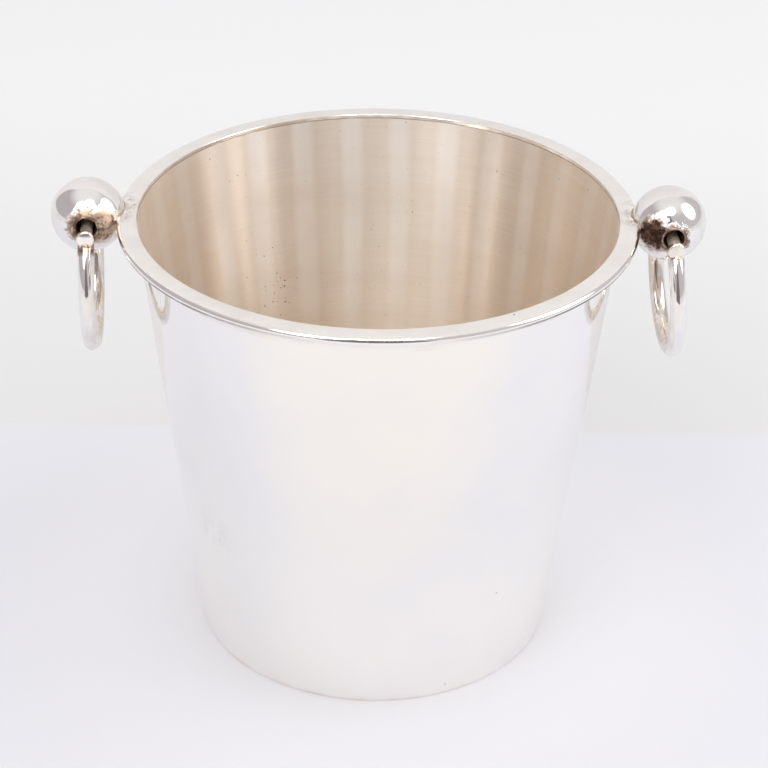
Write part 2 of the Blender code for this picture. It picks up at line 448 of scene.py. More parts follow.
# painted shade towards the ends of the inside, by the handles
INSIDE_ENDS_PAINTED_SHADE = (0.86, 0.69, 0.53)
INSIDE_SHADE = (0.68, 0.57, 0.46)
INSIDE_BRUSHED = (0.95, 0.91, 0.86)
PIT = (0.16, 0.10, 0.06)
DUST = (0.30, 0.22, 0.16)
INSIDE_METALLIC = 0.70        # the tarnish inside scatters part of the light

BALL_LIGHT = (0.90, 0.885, 0.87)
BALL_CLOUDED = (0.86, 0.84, 0.83)
RING_LIGHT = (0.93, 0.915, 0.90)
RING_CLOUDED = (0.84, 0.82, 0.80)
RING_WARM = (0.74, 0.60, 0.45)
RING_BROWN = (0.46, 0.29, 0.20)
RING_DARK_BROWN = (0.15, 0.07, 0.04)
FRECKLES = (0.42, 0.30, 0.22)
CAP_LIGHT = (0.96, 0.94, 0.92)
CAP_CLOUDED = (0.84, 0.80, 0.76)
CAP_SPOTS = (0.30, 0.22, 0.17)
BRASS = (0.84, 0.66, 0.46)
BRASS_PLATED = (0.84, 0.78, 0.70)
BRASS_GRIME = (0.16, 0.09, 0.05)
SLEEVE_DIRT = (0.16, 0.105, 0.075)
SLEEVE_RUBBED = (0.50, 0.41, 0.33)
SOLDER_GREY = (0.62, 0.54, 0.46)
SOLDER_BROWN = (0.30, 0.21, 0.15)

# For each handle: the darkness of the patch between bore and rim, the radius of the stain round
# the bore, the browning of the ring's ends and the dirt in the solder.
TARNISH = {
    "left": {"patch": 0.15, "bore": 0.0094, "ring": 0.9, "solder": 0.5},
    "right": {"patch": 1.0, "bore": 0.0076, "ring": 0.3, "solder": 1.0},
}
PATCH_WAY = (0.52, -0.85, 0.04)    # from a ball's centre to its patch: inwards, rearwards, up
LEG_STAIN_STEP = math.radians(5)   # from a ring's end down to the middle of its stain

STAIN_ANGLE = math.radians(-142)   # a dull, scratched patch on the outside wall
STAIN_HEIGHT = 0.071
BLUSH_ANGLE = math.radians(-128)   # where the foot is worn most
STREAK_TURN = math.radians(12.9)   # angle between the bright bands inside, painted highlight laid over waves in the sheet
STREAK_START = math.radians(85.5)
STREAK_DEPTH = 0.00030             # height of the waves in the sheet that, with the painted highlight, make them
PIT_ANGLE = math.radians(121)      # a group of dark pits inside
PIT_HEIGHT = 0.118


def on_wall(angle, height):
    """Point of the outside wall, at an angle from +X."""
    radius = wall_radius(height)
    return (radius * math.cos(angle), radius * math.sin(angle), height)


def polished_silver():
    """Outside of the wall, and the foot wire: polished plate, lightly scratched."""
    g = Graph("polished_silver")
    _, _, z = g.split()
    smudge = g.noise(g.point, 26.0, 4.0, 0.55)
    clouded = g.fade(smudge, 0.42, 0.68)
    colour = g.mix(clouded, SILVER, SILVER_CLOUDED)
    patch = g.fade(g.distance(on_wall(STAIN_ANGLE, STAIN_HEIGHT)), 0.017, 0.003)
    grain = g.fade(g.noise(g.stretched((300, 300, 90)), 1.0, 5.0, 0.7), 0.40, 0.62)
    dull = g.times(patch, grain)
    colour = g.mix(g.times(dull, 0.40), colour, SILVER_SCRATCHED)
    foot = g.fade(z, 0.0024, 0.0002)
    worn_side = g.fade(g.distance(on_wall(BLUSH_ANGLE, 0.0)), 0.10, 0.03, 0.25, 1.0)
    blotch = g.fade(g.noise(g.point, 90.0, 3.0), 0.36, 0.60)
    blush = g.times(foot, worn_side, blotch, 0.30)
    colour = g.mix(blush, colour, COPPER)
    marks = g.specks(95.0, 0.060, 0.10)
    colour = g.mix(g.times(marks, 0.7), colour, SPOT_GREY)
    rough = g.fade(smudge, 0.30, 0.72, 0.045, 0.085)
    rough = g.math("ADD", rough, g.times(dull, 0.22))
    rough = g.math("ADD", rough, g.times(blush, 0.12))
    return g.metal(colour, rough, fine_scratches(g, 0.35))


def rim_silver(centres):
    """The rim: polished, with tarnish where the balls are soldered on, dots on the flat, and a
    painted dark reflection line under its edge towards the sides.
    """
    g = Graph("rim_silver")
    smudge = g.noise(g.point, 40.0, 4.0, 0.6)
    colour = g.mix(g.fade(smudge, 0.4, 0.7), SILVER, SILVER_DULL)
    near = None
    for centre in centres:
        here = g.fade(g.distance(centre), 0.026, 0.0135)
        near = here if near is None else g.math("MAXIMUM", near, here)
    blotch = g.noise(g.point, 210.0, 5.0, 0.65)
    stain = g.times(near, g.fade(blotch, 0.40, 0.62))
    colour = g.mix(g.times(stain, 0.75), colour, RIM_STAIN)
    dots = g.specks(260.0, 0.16, 0.045, 3.0)
    colour = g.mix(g.times(dots, 0.85), colour, RIM_DOTS)
    dirt = g.times(near, g.specks(420.0, 0.30, 0.35, 7.0))
    colour = g.mix(dirt, colour, TARNISH_BROWN)
    # painted reflection: a dark line under the half-round edge, stronger towards the sides
    x, _, z = g.split()
    under = HEIGHT - 1.45 * RIM_EDGE_RADIUS
    line = g.fade(g.math("ABSOLUTE", g.math("SUBTRACT", z, under)), 0.0009, 0.0006)
    to_side = g.fade(g.math("ABSOLUTE", x), 0.15 * RIM_RADIUS, 0.80 * RIM_RADIUS)
    patchy = g.fade(g.noise(g.point, 80.0, 4.0, 0.6), 0.30, 0.50, 0.55, 1.0)
    dirt_and_painted_line = g.times(line, to_side, patchy)
    colour = g.mix(g.times(dirt_and_painted_line, 0.9), colour, RIM_PAINTED_DARK_LINE)
    rough = g.fade(smudge, 0.3, 0.7, 0.06, 0.11)
    rough = g.math("ADD", rough, g.times(stain, 0.25))
    return g.metal(colour, rough, fine_scratches(g, 0.5))


def brushed_silver():
    """Inside of the bucket: worn, brushed round and round, with a warm tarnish and pits, painted
    highlight bands, painted light on the far side and high up, and painted shade towards the ends.
    """
    g = Graph("brushed_silver")
    x, y, z = g.split()
    rings = g.noise(around(g, 1.6, 1400.0), 1.0, 4.0, 0.6)
    bands = g.noise(around(g, 1.1, 60.0), 1.0, 3.0, 0.5)
    angle = g.math("ARCTAN2", y, x)
    waver = g.noise(g.stretched((14, 14, 5)), 1.0, 2.0)
    angle = g.math("ADD", angle, g.times(g.math("SUBTRACT", waver, 0.5), 0.10))
    phase = g.times(g.math("SUBTRACT", angle, STREAK_START), 2 * math.pi / STREAK_TURN)
    wave = g.math("ADD", g.times(g.math("COSINE", phase), 0.5), 0.5)
    level = g.fade(g.noise(g.stretched((26, 26, 9)), 1.0, 1.0), 0.22, 0.58, 0.62, 1.0)
    # painted highlight: bright bands painted on at fixed angles round the inside
    painted_streak = g.times(g.fade(wave, 0.35, 0.95), level)
    painted_streak = g.times(painted_streak, g.fade(z, 0.080, 0.150, 0.35, 1.0))
    # painted light: the far side of the inside, and with the next line its upper part, are painted
    # lighter and cooler
    rubbed = g.times(g.fade(y, 0.030, 0.098), g.fade(z, 0.020, 0.150))
    painted_lit_far_and_high = g.math("MAXIMUM", rubbed, g.fade(z, 0.130, 0.200, 0.0, 0.6))
    cloud = g.fade(g.noise(g.point, 18.0, 5.0, 0.6), 0.34, 0.66)
    warm = g.mix(cloud, INSIDE_DARK, INSIDE_CLOUD)
    cool = g.mix(cloud, PAINTED_LIT_DARK, PAINTED_LIT_CLOUD)
    colour = g.mix(painted_lit_far_and_high, warm, cool)
    # colour of the painted highlight bands
    lit = g.mix(painted_lit_far_and_high, INSIDE_PAINTED_HIGHLIGHT, PAINTED_LIT_HIGHLIGHT)
    colour = g.mix(painted_streak, colour, lit)
    # painted shade: darker and warmer towards the two ends of the inside
    ends = g.fade(g.math("ABSOLUTE", x), 0.050, 0.100, 0.0, 0.6)
    colour = g.mix(ends, colour, INSIDE_ENDS_PAINTED_SHADE)
    colour = g.mix(g.fade(bands, 0.35, 0.70, 0.0, 0.15), colour, INSIDE_SHADE)
    colour = g.mix(g.fade(rings, 0.35, 0.75, 0.0, 0.30), colour, INSIDE_BRUSHED)
    ragged = g.noise(g.point, 900.0, 3.0, 0.6)
    pits = g.times(g.specks(260.0, 0.13, 0.10, 1.0), g.fade(ragged, 0.42, 0.50))
    group = g.fade(g.distance(on_wall(PIT_ANGLE, PIT_HEIGHT)), 0.018, 0.006)
    crowd = g.times(group, g.specks(560.0, 0.34, 0.40, 5.0), g.fade(ragged, 0.44, 0.50))
    pits = g.math("MAXIMUM", g.times(pits, 0.7), crowd)
    colour = g.mix(pits, colour, PIT)
    dust = g.specks(700.0, 0.22, 0.07, 9.0)
    colour = g.mix(g.times(dust, 0.45), colour, DUST)
    rough = g.fade(cloud, 0.0, 1.0, 0.37, 0.33)
    rough = g.math("SUBTRACT", rough, g.times(painted_streak, 0.03))
    normal = g.bump(wave, STREAK_DEPTH)
    normal = g.bump(bands, 0.00004, 0.5, normal)
    normal = g.bump(rings, 0.00003, 0.9, normal)
    normal = g.bump(g.math("SUBTRACT", 1.0, pits), 0.0003, 0.6, normal)
    tangent = g.node("ShaderNodeTangent", direction_type="RADIAL", axis="Z")
    g.put(g.shader.inputs["Tangent"], tangent.outputs[0])
    g.shader.inputs["Anisotropic Rotation"].default_value = 0.25
    made = g.metal(colour, rough, normal, anisotropic=0.8)
    g.shader.inputs["Metallic"].default_value = INSIDE_METALLIC
    return made


def ball_silver(side, bore_end, stain_middle):
    """A ball: mirror silver, tarnished round its bore and between the bore and the rim."""
    darkness = TARNISH[side]["patch"]
    bore_reach = TARNISH[side]["bore"]
    g = Graph(side + "_ball_silver")
    smudge = g.noise(g.point, 120.0, 3.0)
    mottle = g.noise(g.point, 330.0, 5.0, 0.65)
    ragged = g.noise(g.point, 1100.0, 4.0, 0.7)
    spread = g.math("ADD", g.times(g.math("SUBTRACT", mottle, 0.5), 0.009),
                    g.times(g.math("SUBTRACT", ragged, 0.5), 0.005))
    by_bore = g.math("ADD", g.distance(bore_end), spread)
    by_rim = g.math("ADD", g.distance(stain_middle), spread)
    bore_stain = g.fade(by_bore, bore_reach, 0.75 * bore_reach)
    rim_stain = g.fade(by_rim, 0.0096, 0.0058)
    core = g.fade(by_rim, 0.0072, 0.0054)
    stain = g.math("MAXIMUM", bore_stain, rim_stain)
    rich = g.noise(g.point, 380.0, 6.0, 0.7)
    broad = g.noise(g.point, 170.0, 3.0, 0.6)
    tarnish = g.mix(g.fade(broad, 0.40, 0.62), TARNISH_TAN, TARNISH_RUST)
    tarnish = g.mix(g.fade(rich, 0.52, 0.59), tarnish, TARNISH_BROWN)
    scorched = g.times(g.fade(by_bore, 0.0086, 0.0066), g.fade(mottle, 0.40, 0.54))
    tarnish = g.mix(g.times(scorched, 0.9), tarnish, TARNISH_BROWN)
    tarnish = g.mix(0.56 * darkness, tarnish, TARNISH_BROWN)
    burnt = g.mix(g.fade(rich, 0.46, 0.60), TARNISH_BLACK, TARNISH_BURNT)
    tarnish = g.mix(g.times(core, darkness), tarnish, burnt)
    colour = g.mix(g.fade(smudge, 0.4, 0.7), BALL_LIGHT, BALL_CLOUDED)
    solid = g.math("MAXIMUM", g.times(stain, 0.9), g.times(core, darkness))
    colour = g.mix(solid, colour, tarnish)
    rough = g.fade(smudge, 0.3, 0.7, 0.09, 0.13)
    rough = g.math("ADD", rough, g.times(stain, 0.32))
    normal = g.bump(g.noise(g.point, 60.0, 1.0), 0.0002, 0.25)
    normal = g.bump(g.times(rich, stain), 0.0004, 0.8, normal)
    return g.metal(colour, rough, normal)


def ring_silver(side, tops, middle, radius):
    """A ring: mirror silver, browned at its soldered tops and warm on its inner side."""
    browning = TARNISH[side]["ring"]
    g = Graph(side + "_ring_silver")
    smudge = g.noise(g.point, 70.0, 4.0, 0.6)
    colour = g.mix(g.fade(smudge, 0.38, 0.70), RING_LIGHT, RING_CLOUDED)
    inner = g.fade(g.distance(middle), radius, radius * 0.93)
    streaks = g.fade(g.noise(g.stretched((420, 420, 60)), 1.0, 3.0), 0.40, 0.60, 0.25, 1.0)
    colour = g.mix(g.times(inner, streaks, 0.7), colour, RING_WARM)
    mottle = g.noise(g.point, 420.0, 4.0, 0.6)
    stain = None
    for top in tops:
        far = g.math("ADD", g.distance(top), g.times(mottle, 0.002))
        here = g.fade(far, 0.0072, 0.0052)
        stain = here if stain is None else g.math("MAXIMUM", stain, here)
    brown = g.mix(g.fade(mottle, 0.42, 0.6), RING_BROWN, RING_DARK_BROWN)
    colour = g.mix(g.times(stain, browning), colour, brown)
    freckles = g.specks(300.0, 0.20, 0.12, 2.0)
    colour = g.mix(g.times(freckles, 0.45), colour, FRECKLES)
    rough = g.fade(smudge, 0.3, 0.7, 0.04, 0.10)
    rough = g.math("ADD", rough, g.times(stain, 0.2 * browning))
    return g.metal(colour, rough, fine_scratches(g, 0.45))


def cap_silver():
    """The caps: brighter and cleaner than the ring."""
    g = Graph("cap_silver")
    smudge = g.noise(g.point, 200.0, 4.0, 0.6)
    colour = g.mix(g.fade(smudge, 0.40, 0.66), CAP_LIGHT, CAP_CLOUDED)
    spots = g.specks(420.0, 0.22, 0.20, 4.0)
    colour = g.mix(g.times(spots, 0.6), colour, CAP_SPOTS)
    rough = g.fade(smudge, 0.3, 0.7, 0.10, 0.20)
    return g.metal(colour, rough, fine_scratches(g, 0.8))


def worn_brass():
    """The pins: plating worn through to yellow metal, dirty in the hollows."""
    g = Graph("worn_brass")
    wear = g.noise(g.point, 260.0, 4.0, 0.65)
    colour = g.mix(g.fade(wear, 0.38, 0.62), BRASS, BRASS_PLATED)
    dirt_and_painted_line = g.fade(g.noise(g.point, 480.0, 5.0, 0.7), 0.52, 0.70)
    colour = g.mix(dirt_and_painted_line, colour, BRASS_GRIME)
    rough = g.fade(wear, 0.3, 0.7, 0.38, 0.50)
    normal = g.bump(g.noise(g.point, 900.0, 3.0), 0.00005, 0.5)
    return g.metal(colour, rough, normal)


def sleeve_metal():
    """The sleeves: dull, brown with old polish and dirt, their lips rubbed a little brighter."""
    g = Graph("sleeve_metal")
    wear = g.noise(g.point, 420.0, 5.0, 0.7)
    colour = g.mix(g.fade(wear, 0.45, 0.62), SLEEVE_DIRT, SLEEVE_RUBBED)
    rough = g.fade(wear, 0.3, 0.7, 0.50, 0.34)
    normal = g.bump(g.noise(g.point, 900.0, 3.0), 0.00008, 0.6)
    return g.metal(colour, rough, normal)


def solder_metal(side):
    """Solder: matt grey-brown lumps with dark brown in the pits."""
    dark = TARNISH[side]["solder"]
    g = Graph(side + "_solder")
    lump = g.noise(g.point, 520.0, 5.0, 0.7)
    colour = g.mix(g.fade(lump, 0.38, 0.62), SOLDER_GREY, SOLDER_BROWN)
    pits = g.fade(g.noise(g.point, 980.0, 4.0, 0.6), 0.50, 0.64)
    colour = g.mix(g.times(pits, dark), colour, TARNISH_BROWN)
    rough = g.fade(lump, 0.3, 0.7, 0.34, 0.55)
    normal = g.bump(g.math("SUBTRACT", lump, g.times(pits, 0.4)), 0.0004, 0.8)
    return g.metal(colour, rough, normal)


# ---------------------------------------------------------------- the bucket
def rim_outline():
    """Section of the rim moulding: lip, flat top, half-round edge, cove and rounded skirt."""
    mouth = min(math.hypot(p.x, p.y) for p in node_points("rim_moulding") if p.z > HEIGHT - 1e-5)
    lip_low = min(math.hypot(p.x, p.y) for p in node_points("rim_moulding"))
    seat = WALL_TOP + SMALL_LIP
    flat = RIM_RADIUS - RIM_EDGE_RADIUS
    cove_height = HEIGHT - 2 * RIM_EDGE_RADIUS - RIM_COVE_RADIUS
    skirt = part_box("rim_moulding")[0].z
    cove_foot = flat - RIM_COVE_RADIUS
    points = [(lip_low, seat)]
    points += arc((mouth, HEIGHT - RIM_LIP_RADIUS), RIM_LIP_RADIUS, 180, 90, 6)
    points += arc((flat, HEIGHT - RIM_EDGE_RADIUS), RIM_EDGE_RADIUS, 90, -90, 28)
    points += arc((flat, cove_height), RIM_COVE_RADIUS, 90, 180, 24)
    points += arc((cove_foot - SKIRT_RADIUS, skirt + SKIRT_RADIUS), SKIRT_RADIUS, 0, -90, 5)
    points.append((wall_radius(skirt) + FIT, skirt))
    points.append((wall_radius(seat) + FIT, seat))
    return points


def bucket_wall(outside, inside):
    """One closed sheet: polished outside, brushed inside, its lower edge worn round."""
    steps = 24
    middle = (WALL_LOW_INNER + WALL_LOW_OUTER) / 2
    outer = arc((wall_radius(0) - FOOT_ROUNDING, FOOT_ROUNDING), FOOT_ROUNDING, -90, 0, 6)
    levels = [WALL_TOP * i / steps for i in range(1, steps + 1)]
    outer += [(wall_radius(z), z) for z in levels]
    thickness = WALL_TOP_OUTER - WALL_TOP_INNER
    inner = [(wall_radius(z) - thickness, z) for z in reversed(levels)]
    inner += [(WALL_LOW_INNER, FOOT_ROUNDING)]
    shape = lathe(outer + inner, ROUND_STEPS)

    def pick(face):
        """0 for the outside, 1 for the inside."""
        c = face.center
        return int(math.hypot(c.x, c.y) < middle + SLOPE * c.z)

    return make_piece("bucket_wall", shape, [outside, inside], "root", ["body_wall"],
                      pick=pick)


def bucket_floor(inside):
    """The bottom, with a solder fillet where it meets the wall."""
    low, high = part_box("bottom_plate")[0].z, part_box("bottom_plate")[1].z
    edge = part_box("bottom_plate")[1].x
    outline = [(0, low), (edge, low), (edge, high + FLOOR_FILLET)]
    outline += arc((edge - FLOOR_FILLET, high + FLOOR_FILLET), FLOOR_FILLET, 0, -90, 6)[1:]
    outline += [(edge * i / 12, high) for i in range(11, -1, -1)]
    shape = lathe(outline, ROUND_STEPS)
    return make_piece("bucket_floor", shape, [inside], "root", ["bottom_plate"])


def foot_ring(outside):
    """Flat wire inside the lower edge."""
    low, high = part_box("foot_wire")
    (inner, outer), (_, outer_top) = turned_radii("foot_wire")
    r = FOOT_ROUNDING
    outline = arc((inner + r, r), r, 180, 270, 6) + [(outer, 0), (outer_top, high.z)]
    outline += arc((inner + r, high.z - r), r, 90, 180, 6)
    shape = lathe(outline, ROUND_STEPS)
    return make_piece("foot_ring", shape, [outside], "root", ["foot_wire"])


def rim(finish):
    """The rim moulding, turned in one piece."""
    shape = lathe(rim_outline(), ROUND_STEPS)
    return make_piece("rim", shape, [finish], "root", ["rim_moulding"])


def inside_rim(point):
    """Whether a point is within the rim moulding's section, for the solder at the balls."""
    r, z = math.hypot(point.x, point.y), point.z
    flat = RIM_RADIUS - RIM_EDGE_RADIUS
    if z > HEIGHT or r < flat - RIM_COVE_RADIUS:
        return False
    edge_centre = HEIGHT - RIM_EDGE_RADIUS
    if z > HEIGHT - 2 * RIM_EDGE_RADIUS:
        return r < flat or math.hypot(r - flat, z - edge_centre) < RIM_EDGE_RADIUS
    cove_centre = HEIGHT - 2 * RIM_EDGE_RADIUS - RIM_COVE_RADIUS
    return math.hypot(r - flat, z - cove_centre) > RIM_COVE_RADIUS and r < flat


# ---------------------------------------------------------------- one handle
class Side:
    """Measures of one handle, read from the CAD, in the frame of its pin."""

    def __init__(self, side):
        self.name = side
        pin = pin_frame(side)
        self.place = hanging_frame(side, pin)
        self.back = self.place.inverted()
        self.centre, self.ball_radius = ball_centre(side)
        self.lug = Matrix.Translation(self.centre - pin.translation) @ pin
        out = self.lug.inverted()
        self.sleeve_reach = reach(node_points(side + "_pin_sleeve", out), 1)[1]
        self.sleeve_radius = reach(node_points(side + "_pin_sleeve", out), 2)[1]
        cap = node_points(side + "_front_cap", self.back)
        self.cap_end = -reach(cap, 1)[0]
        self.cap_mouth = -reach(cap, 1)[1]
        self.cap_radius = reach(cap, 2)[1]
        self.pin_radius = reach(node_points(side + "_pivot_pin", self.back), 2)[1]
        ring_points = node_points(side + "_ring", self.back)
        self.wire = reach(ring_points, 0)[1]
        self.ring_radius = reach(ring_points, 1)[1] - self.wire
        self.ring_drop = -reach(ring_points, 2)[0] - self.wire - self.ring_radius

    def tip_radius(self, to_end):
        """Radius of the ring's wire at a distance from its end, where it rounds off."""
        rounding = min(1.0, max(0.0, to_end / RING_TIP))
        bulge = math.sqrt(1 - (1 - rounding) ** 2)
        return self.wire * (RING_TIP_SHARE + (1 - RING_TIP_SHARE) * bulge)


def ball(s, finish):
    """Hollow ball with a bore through it."""
    hole = s.sleeve_radius + FIT
    inner = s.ball_radius - BALL_THICKNESS

    def sweep(radius, sign, steps):
        """Half circle from one end of the bore to the other."""
        start = math.degrees(math.acos(hole / radius))
        return arc((0, 0), radius, sign * start, -sign * start, steps)

    outline = sweep(s.ball_radius, -1, 56) + sweep(inner, 1, 28)
    shape = lathe(outline, BALL_STEPS, along_y=True)
    nodes = [f"{s.name}_ball_front_half", f"{s.name}_ball_rear_half"]
    return make_piece(s.name + "_ball", shape, [finish], "root", nodes, s.lug)


def sleeve(s, finish):
    """Tube through the ball with rounded lips."""
    lip = SLEEVE_WALL / 2
    middle = s.sleeve_radius - lip
    outline = arc((middle, s.sleeve_reach - lip), lip, 0, 180, 10)
    outline += arc((middle, lip - s.sleeve_reach), lip, 180, 360, 10)
    shape = lathe(outline, SMALL_STEPS, along_y=True)
    nodes = [s.name + "_pin_sleeve"]
    return make_piece(s.name + "_sleeve", shape, [finish], "root", nodes, s.lug)


def pin(s, finish):
    """The loose pin, a little waisted by wear where it bears in the sleeve."""
    steps = 24
    end = s.cap_mouth + PIN_BITE - SMALL_LIP
    outline = [(0, -end), (s.pin_radius, -end)]
    for i in range(1, steps):
        y = -end + 2 * end * i / steps
        wear = PIN_WEAR * math.exp(-(y / (0.6 * end)) ** 2)
        outline.append((s.pin_radius - wear, y))
    outline += [(s.pin_radius, end), (0, end)]
    shape = lathe(outline, SMALL_STEPS, along_y=True)
    nodes = [s.name + "_pivot_pin"]
    return make_piece(s.name + "_pin", shape, [finish], s.name + "_handle", nodes,
                      s.place)


def cap(s, end, finish):
    """End cap over the pin: rounded edge, slightly domed face."""
    sign = -1 if end == "front" else 1
    bore = s.pin_radius + FIT
    shoulder = s.cap_end - CAP_DOME
    flat = s.cap_radius - CAP_ROUNDING
    outline = [(flat * i / 8, s.cap_end - CAP_DOME * (i / 8) ** 2) for i in range(9)]
    outline += arc((flat, shoulder - CAP_ROUNDING), CAP_ROUNDING, 90, 0, 8)[1:]
    outline += arc((s.cap_radius - SMALL_LIP, s.cap_mouth + SMALL_LIP), SMALL_LIP, 0, -90, 4)
    outline += [(bore, s.cap_mouth), (bore, s.cap_mouth + PIN_BITE), (0, s.cap_mouth + PIN_BITE)]
    shape = lathe([(r, sign * y) for r, y in outline], SMALL_STEPS, along_y=True)
    nodes = [f"{s.name}_{end}_cap"]
    return make_piece(f"{s.name}_{end}_end_cap", shape, [finish], s.name + "_handle", nodes,
                      s.place)


def on_ring(s, angle):
    """Point of the ring's centre line at an angle from its top, towards the rear."""
    return Vector((0, s.ring_radius * math.sin(angle),
                   s.ring_radius * math.cos(angle) - s.ring_drop))


def ring(s, finish):
    """Round wire bent to a C, its two ends rounded off under the caps."""
    path = []
    radii = []
    span = 2 * (math.pi - RING_END)
    length = span * s.ring_radius
    for i in range(RING_STEPS + 1):
        swing = math.cos(math.pi * i / RING_STEPS)
        crowded = swing * (1 - RING_CROWDING + RING_CROWDING * abs(swing))
        share = 0.5 - 0.5 * crowded
        path.append(on_ring(s, RING_END + span * share))
        radii.append(s.tip_radius(min(share, 1 - share) * length))
    shape = tube(path, radii, WIRE_STEPS, closed=False)
    return make_piece(s.name + "_ring_wire", shape, [finish], s.name + "_handle",
                      [s.name + "_ring"], s.place)


def lug_solder(s, finish):
    """Solder bead where the ball sits over the rim."""
    inward = Vector((1 if s.name == "left" else -1, 0, 0))
    across = Vector((0, 1, 0))
    up = Vector((0, 0, 1))

    def surface(turn, tilt):
        radial = math.cos(turn) * across + math.sin(turn) * up
        return s.centre + s.ball_radius * (math.cos(tilt) * inward + math.sin(tilt) * radial)

    curve = meeting_curve(surface, inside_rim, steps=120, far=math.radians(80))
    shape = bead(curve, LUG_BEAD_RADIUS, seed=3.0)
    return make_piece(s.name + "_lug_solder", shape, [finish], "root")


def leg_solder(s, end, finish):
    """Solder bead round the ring's end, where it meets the pin and its cap."""
    sign = -1 if end == "front" else 1
    start = math.radians(24)      # a point of the wire past its end that is clear of the pin

    def surface(turn, back):
        past_end = start - back
        middle = on_ring(s, sign * (RING_END + past_end))
        radial = Vector((0, sign * math.sin(RING_END + past_end), math.cos(RING_END + past_end)))
        wire = s.tip_radius(past_end * s.ring_radius)
        return middle + wire * (math.cos(turn) * Vector((1, 0, 0)) + math.sin(turn) * radial)

    def outside(point):
        along = sign * point.y
        by_cap = s.cap_mouth < along < s.cap_end
        return math.hypot(point.x, point.z) > (s.cap_radius if by_cap else s.pin_radius)

    curve = meeting_curve(surface, outside, steps=72, far=start)
    shape = bead(curve, LEG_BEAD_RADIUS, seed=9.0)
    return make_piece(f"{s.name}_{end}_leg_solder", shape, [finish], s.name + "_handle",
                      place=s.place)


def handle(s, brass, sleeves, caps):
    """All the pieces of one handle and its lug."""
    bore_front = s.lug @ Vector((0, -s.sleeve_reach, 0))
    inward, rear, up = PATCH_WAY
    towards_stain = Vector((inward if s.name == "left" else -inward, rear, up)).normalized()
    stain_middle = s.centre + s.ball_radius * towards_stain
    ball(s, ball_silver(s.name, bore_front, stain_middle))
    sleeve(s, sleeves)
    pin(s, brass)
    for end in ("front", "rear"):
        cap(s, end, caps)
    tops = [s.place @ on_ring(s, sign * (RING_END + LEG_STAIN_STEP)) for sign in (-1, 1)]
    middle = s.place @ Vector((0, 0, -s.ring_drop))
    ring(s, ring_silver(s.name, tops, middle, s.ring_radius))
    solder = solder_metal(s.name)
    lug_solder(s, solder)
    for end in ("front", "rear"):
        leg_solder(s, end, solder)


# ---------------------------------------------------------------- camera and studio
def camera():
    """A 106 mm lens a metre away, 30 degrees above the table, leaning slightly."""
    target = Vector((0.003441, 0, 0.115013))
    distance = 1.0102
    elevation = 0.5314
    lean = 0.0147
    right = Vector((1, 0, 0))
    up = Vector((0, math.sin(elevation), math.cos(elevation)))
    back = Vector((0, -math.cos(elevation), math.sin(elevation)))
    x_axis = math.cos(lean) * right + math.sin(lean) * up
    y_axis = math.cos(lean) * up - math.sin(lean) * right
    data = bpy.data.cameras.new("camera")
    data.lens = 106.44
    data.sensor_width = 36
    data.clip_start = 0.05
    data.clip_end = 60
    eye = bpy.data.objects.new("camera", data)
    turn = Matrix((x_axis, y_axis, back)).transposed().to_4x4()
    eye.matrix_world = Matrix.Translation(target + back * distance) @ turn
    bpy.context.scene.collection.objects.link(eye)
    bpy.context.scene.camera = eye


def smooth_step(tree, socket, start, end, low, high):
    """Smooth change from low to high as a socket's value goes from start to end."""
    made = tree.nodes.new("ShaderNodeMapRange")
    made.interpolation_type = "SMOOTHSTEP"
    for key, value in zip(("From Min", "From Max", "To Min", "To Max"), (start, end, low, high)):
        made.inputs[key].default_value = value
    tree.links.new(socket, made.inputs["Value"])
    return made.outputs[0]


def shape_light(light):
    """Node strength for a lamp: round with soft edges, and weaker after a matt surface.

    So the light that the silver throws on the table stays about as weak as the table's own.
    """
    light.use_nodes = True
    tree = light.node_tree
    bounced = tree.nodes.new("ShaderNodeLightPath").outputs["Diffuse Depth"]
    strength = smooth_step(tree, bounced, 0.4, 0.6, 1.0, BOUNCED_SHARE)
    across = tree.nodes.new("ShaderNodeVectorMath")
    across.operation = "DISTANCE"
    across.inputs[1].default_value = (0.5, 0.5, 0.0)
    flat = tree.nodes.new("ShaderNodeVectorMath")
    flat.operation = "MULTIPLY"
    flat.inputs[1].default_value = (1.0, 1.0, 0.0)
    tree.links.new(tree.nodes.new("ShaderNodeNewGeometry").outputs["Parametric"], flat.inputs[0])
    tree.links.new(flat.outputs[0], across.inputs[0])
    edge = smooth_step(tree, across.outputs["Value"], 0.5, 0.5 - SOFT_EDGE, 0.0, 1.0)
    both = tree.nodes.new("ShaderNodeMath")
    both.operation = "MULTIPLY"
    tree.links.new(strength, both.inputs[0])
    tree.links.new(edge, both.inputs[1])
    tree.links.new(both.outputs[0], tree.nodes["Emission"].inputs["Strength"])


def softbox(name, direction, distance, size, on_paper, on_metal):
    """A light facing the bucket, of one brightness for matt things and one for metal.

    A brightness of 1 is that of fully lit white paper. The split keeps the table evenly lit
    while the softboxes shine in the silver as strongly as they do in a bright studio.
    """
    back = Vector(direction).normalized()
    turn = back.to_track_quat("Z", "Y").to_matrix().to_4x4()
    for part, brightness in (("metal", on_metal), ("paper", on_paper)):
        if not brightness:
            continue
        data = bpy.data.lights.new(f"{name}_{part}", "AREA")
        data.shape = "RECTANGLE"
        data.size, data.size_y = size
        data.energy = brightness * math.pi * size[0] * size[1]
        if part == "metal":
            shape_light(data)
        lamp = bpy.data.objects.new(data.name, data)
        lamp.matrix_world = Matrix.Translation(Vector((0, 0, HEIGHT)) + back * distance) @ turn
        lamp.visible_camera = False
        lamp.visible_glossy = part == "metal"
        lamp.visible_diffuse = part == "paper"
        bpy.context.scene.collection.objects.link(lamp)
        distance += LAMP_SPACING


